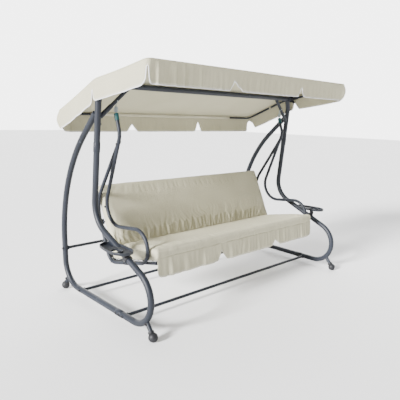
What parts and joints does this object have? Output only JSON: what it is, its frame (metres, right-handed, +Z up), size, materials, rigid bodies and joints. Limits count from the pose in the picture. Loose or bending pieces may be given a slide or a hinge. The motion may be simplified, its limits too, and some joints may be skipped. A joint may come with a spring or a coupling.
{
  "type": "canopy swing bench",
  "caption": "Garden swing bench: a padded seat with a reclining back hangs by springs from a bent tube stand, under a tilting fabric canopy, with a side tray at each end.",
  "frame": {"origin": "on the ground, at the middle of the bench's bounding box", "axes": "+X along the bench, to the right as seen from the front, -Y the front, +Z up"},
  "size_m": [2.178, 1.116, 1.5655],
  "materials": {
    "powder_coated_tube": "satin slate blue-grey powder coat",
    "support_mesh": "satin powder coat",
    "black_plastic": "matte",
    "tray_plastic": "fine matte texture",
    "zinc": "bright zinc plating",
    "sleeve": "dark teal, satin",
    "cushion_fabric": "cream woven polyester",
    "canopy_fabric": "cream woven polyester, thin"
  },
  "bodies": {
    "stand": {"left_front_leg": "powder_coated_tube", "left_rear_leg": "powder_coated_tube", "left_front_foot_strut": "powder_coated_tube", "left_rear_foot_strut": "powder_coated_tube", "left_front_foot": "black_plastic", "left_rear_foot": "black_plastic", "left_bar_end_cap": "black_plastic", "left_brace_sleeve": "powder_coated_tube", "left_brace_tube": "powder_coated_tube", "left_hanger_eye": "zinc", "left_side_tray": "tray_plastic", "left_tray_collar": "tray_plastic", "right_front_leg": "powder_coated_tube", "right_rear_leg": "powder_coated_tube", "right_front_foot_strut": "powder_coated_tube", "right_rear_foot_strut": "powder_coated_tube", "right_front_foot": "black_plastic", "right_rear_foot": "black_plastic", "right_bar_end_cap": "black_plastic", "right_brace_sleeve": "powder_coated_tube", "right_brace_tube": "powder_coated_tube", "right_hanger_eye": "zinc", "right_side_tray": "tray_plastic", "right_tray_collar": "tray_plastic", "top_bar": "powder_coated_tube", "front_crossbar": "powder_coated_tube", "rear_bottom_crossbar": "powder_coated_tube", "rear_middle_crossbar": "powder_coated_tube"},
    "hangers": {"left_spring": "zinc", "right_spring": "zinc"},
    "swing": {"left_spring_sleeve": "sleeve", "left_armrest_tube": "powder_coated_tube", "left_rear_hanger_tube": "powder_coated_tube", "left_rest_bracket": "powder_coated_tube", "left_seat_side_rail": "powder_coated_tube", "left_hinge_bracket": "powder_coated_tube", "right_spring_sleeve": "sleeve", "right_armrest_tube": "powder_coated_tube", "right_rear_hanger_tube": "powder_coated_tube", "right_rest_bracket": "powder_coated_tube", "right_seat_side_rail": "powder_coated_tube", "right_hinge_bracket": "powder_coated_tube", "seat_front_rail": "powder_coated_tube", "seat_rear_rail": "powder_coated_tube", "seat_mesh": "support_mesh", "seat_cushion": "cushion_fabric", "front_skirt": "cushion_fabric"},
    "backrest": {"backrest_frame": "powder_coated_tube", "backrest_mesh": "support_mesh", "back_cushion": "cushion_fabric"},
    "left_recline_knob_body": {"left_recline_knob": "black_plastic"},
    "right_recline_knob_body": {"right_recline_knob": "black_plastic"},
    "canopy": {"left_canopy_bracket": "black_plastic", "right_canopy_bracket": "black_plastic", "canopy_front_bow": "powder_coated_tube", "canopy_rear_bow": "powder_coated_tube", "canopy_cover": "canopy_fabric"},
    "left_canopy_knob_body": {"left_canopy_knob": "black_plastic"},
    "right_canopy_knob_body": {"right_canopy_knob": "black_plastic"}
  },
  "joints": [
    {"name": "swing_hinge", "type": "hinge", "parent": "stand", "child": "hangers", "pos_m": [0, 0.03, 1.332], "axis": [1, 0, 0], "range_deg": [-15, 15]},
    {"name": "seat_bounce", "type": "slide", "parent": "hangers", "child": "swing", "axis": [0, 0, 1], "range_m": [-0.02, 0], "stiffness_N_per_m": 100000, "springref_m": 0.004, "deforming": ["left_spring", "right_spring"]},
    {"name": "backrest_recline", "type": "hinge", "parent": "swing", "child": "backrest", "pos_m": [0, 0.12808, 0.324], "axis": [-1, 0, 0], "range_deg": [0, 58]},
    {"name": "left_recline_knob_turn", "type": "hinge", "parent": "swing", "child": "left_recline_knob_body", "pos_m": [-0.82, 0.12808, 0.324], "axis": [-1, 0, 0], "continuous": true},
    {"name": "right_recline_knob_turn", "type": "hinge", "parent": "swing", "child": "right_recline_knob_body", "pos_m": [0.82, 0.12808, 0.324], "axis": [1, 0, 0], "continuous": true},
    {"name": "canopy_tilt", "type": "hinge", "parent": "stand", "child": "canopy", "pos_m": [0, 0.01, 1.452], "axis": [1, 0, 0], "range_deg": [-5, 25]},
    {"name": "left_canopy_knob_turn", "type": "hinge", "parent": "canopy", "child": "left_canopy_knob_body", "pos_m": [-0.976, -0.01973, 1.42523], "axis": [0, -0.7431, -0.6691], "continuous": true},
    {"name": "right_canopy_knob_turn", "type": "hinge", "parent": "canopy", "child": "right_canopy_knob_body", "pos_m": [0.976, -0.01973, 1.42523], "axis": [0, -0.7431, -0.6691], "continuous": true}
  ]
}
